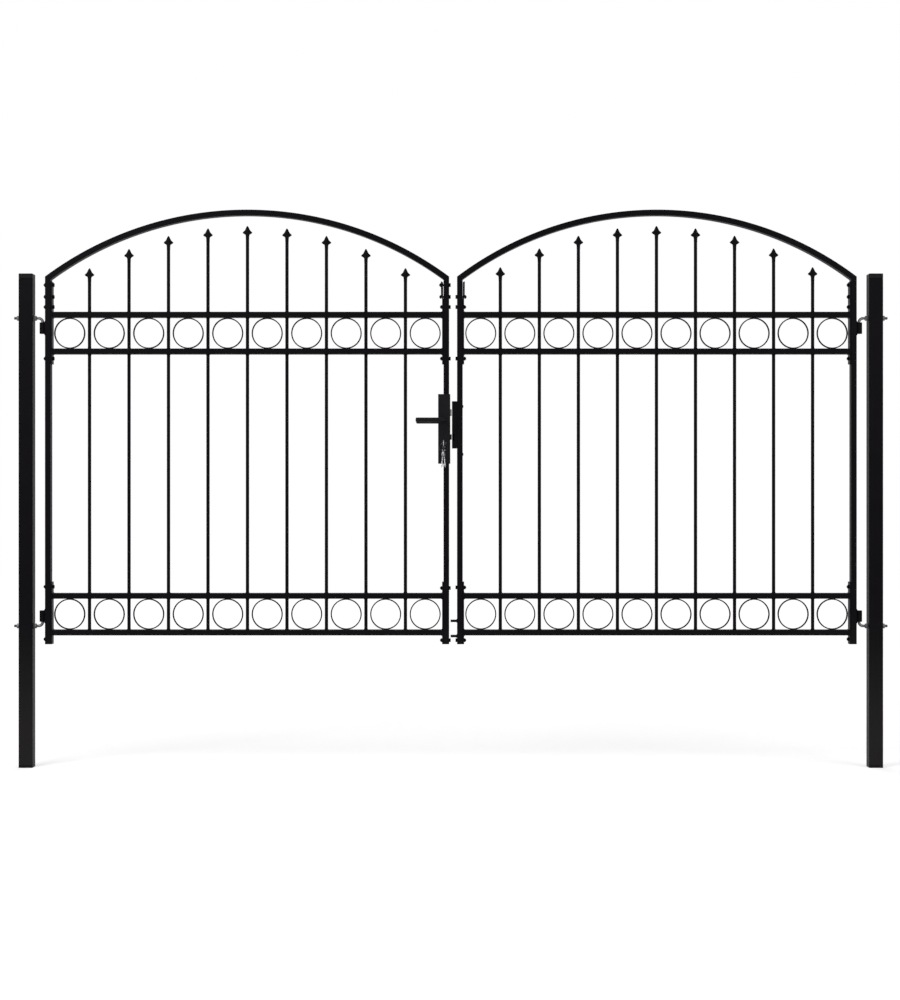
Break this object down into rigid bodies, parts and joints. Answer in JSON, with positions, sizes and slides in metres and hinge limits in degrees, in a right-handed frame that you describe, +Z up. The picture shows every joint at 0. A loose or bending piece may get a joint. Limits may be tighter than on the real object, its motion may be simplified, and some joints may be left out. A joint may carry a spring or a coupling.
{
  "type": "arched double gate",
  "caption": "Black steel double gate with arched tops, spear-headed bars, ring bands, a lever lock with keys, and square posts with hook-bolt hinges.",
  "frame": {"origin": "centre of the left post's foot, on the ground", "axes": "+X from the left post to the right post, +Y to the back (the keys hang on the front, -Y), +Z up"},
  "size_m": [3.1, 0.1558, 1.977],
  "materials": {
    "black_powder_coat": "satin black powder coat on steel",
    "black_enamel": "satin black enamel on steel",
    "zinc_plated_steel": "zinc plated, dull",
    "bright_steel": "nickel plated, satin",
    "blackened_steel": "black oxide",
    "black_plastic": "moulded, fine grain"
  },
  "bodies": {
    "posts": {"left_post": "black_powder_coat", "right_post": "black_powder_coat", "post_caps": "black_plastic", "post_foot_caps": "black_plastic", "hook_bolts": "zinc_plated_steel", "hook_bolt_nuts": "zinc_plated_steel"},
    "left_leaf": {"left_arch": "black_powder_coat", "left_balusters": "black_powder_coat", "left_hinge_bushes": "black_powder_coat", "left_hinge_stile": "black_powder_coat", "left_lock_stile": "black_powder_coat", "left_lower_rails": "black_powder_coat", "left_lower_rings": "black_powder_coat", "left_side_plates": "black_powder_coat", "left_spear_heads": "black_powder_coat", "left_stile_plugs": "black_plastic", "left_upper_rails": "black_powder_coat", "left_upper_rings": "black_powder_coat", "lock_case": "black_enamel", "lock_faceplates": "black_enamel", "lock_cylinder": "blackened_steel", "lock_key": "bright_steel"},
    "right_leaf": {"right_arch": "black_powder_coat", "right_balusters": "black_powder_coat", "right_hinge_bushes": "black_powder_coat", "right_hinge_stile": "black_powder_coat", "right_lock_stile": "black_powder_coat", "right_lower_rails": "black_powder_coat", "right_lower_rings": "black_powder_coat", "right_side_plates": "black_powder_coat", "right_spear_heads": "black_powder_coat", "right_stile_plugs": "black_plastic", "right_upper_rails": "black_powder_coat", "right_upper_rings": "black_powder_coat", "strike_box": "black_powder_coat", "guide_lugs": "black_powder_coat"},
    "lever": {"lever_handle": "black_enamel"},
    "latch": {"latch_bolt": "bright_steel"},
    "lock_bolt": {"dead_bolt": "blackened_steel"},
    "key_bunch": {"key_ring": "blackened_steel", "spare_keys": "bright_steel"}
  },
  "joints": [
    {"name": "left_leaf_swing", "type": "hinge", "parent": "posts", "child": "left_leaf", "pos_m": [0.056, 0, 1.047], "axis": [0, 0, 1], "range_deg": [-90, 90]},
    {"name": "right_leaf_swing", "type": "hinge", "parent": "posts", "child": "right_leaf", "pos_m": [2.954, 0, 1.047], "axis": [0, 0, -1], "range_deg": [-90, 90]},
    {"name": "lever_turn", "type": "hinge", "parent": "left_leaf", "child": "lever", "pos_m": [1.479, 0, 1.23], "axis": [0, -1, 0], "range_deg": [0, 45], "stiffness_Nm_per_rad": 1, "springref_deg": -57.3},
    {"name": "latch_slide", "type": "slide", "parent": "left_leaf", "child": "latch", "axis": [-1, 0, 0], "range_m": [0, 0.006]},
    {"name": "dead_bolt_slide", "type": "slide", "parent": "left_leaf", "child": "lock_bolt", "axis": [1, 0, 0], "range_m": [0, 0.012]},
    {"name": "key_bunch_swing", "type": "hinge", "parent": "left_leaf", "child": "key_bunch", "pos_m": [1.479, -0.05122, 1.147], "axis": [-1, 0, 0], "range_deg": [-12, 60]}
  ],
  "couplings": [
    {"joint": "latch_slide", "follows": "lever_turn", "m_per_rad": 0.0076}
  ]
}
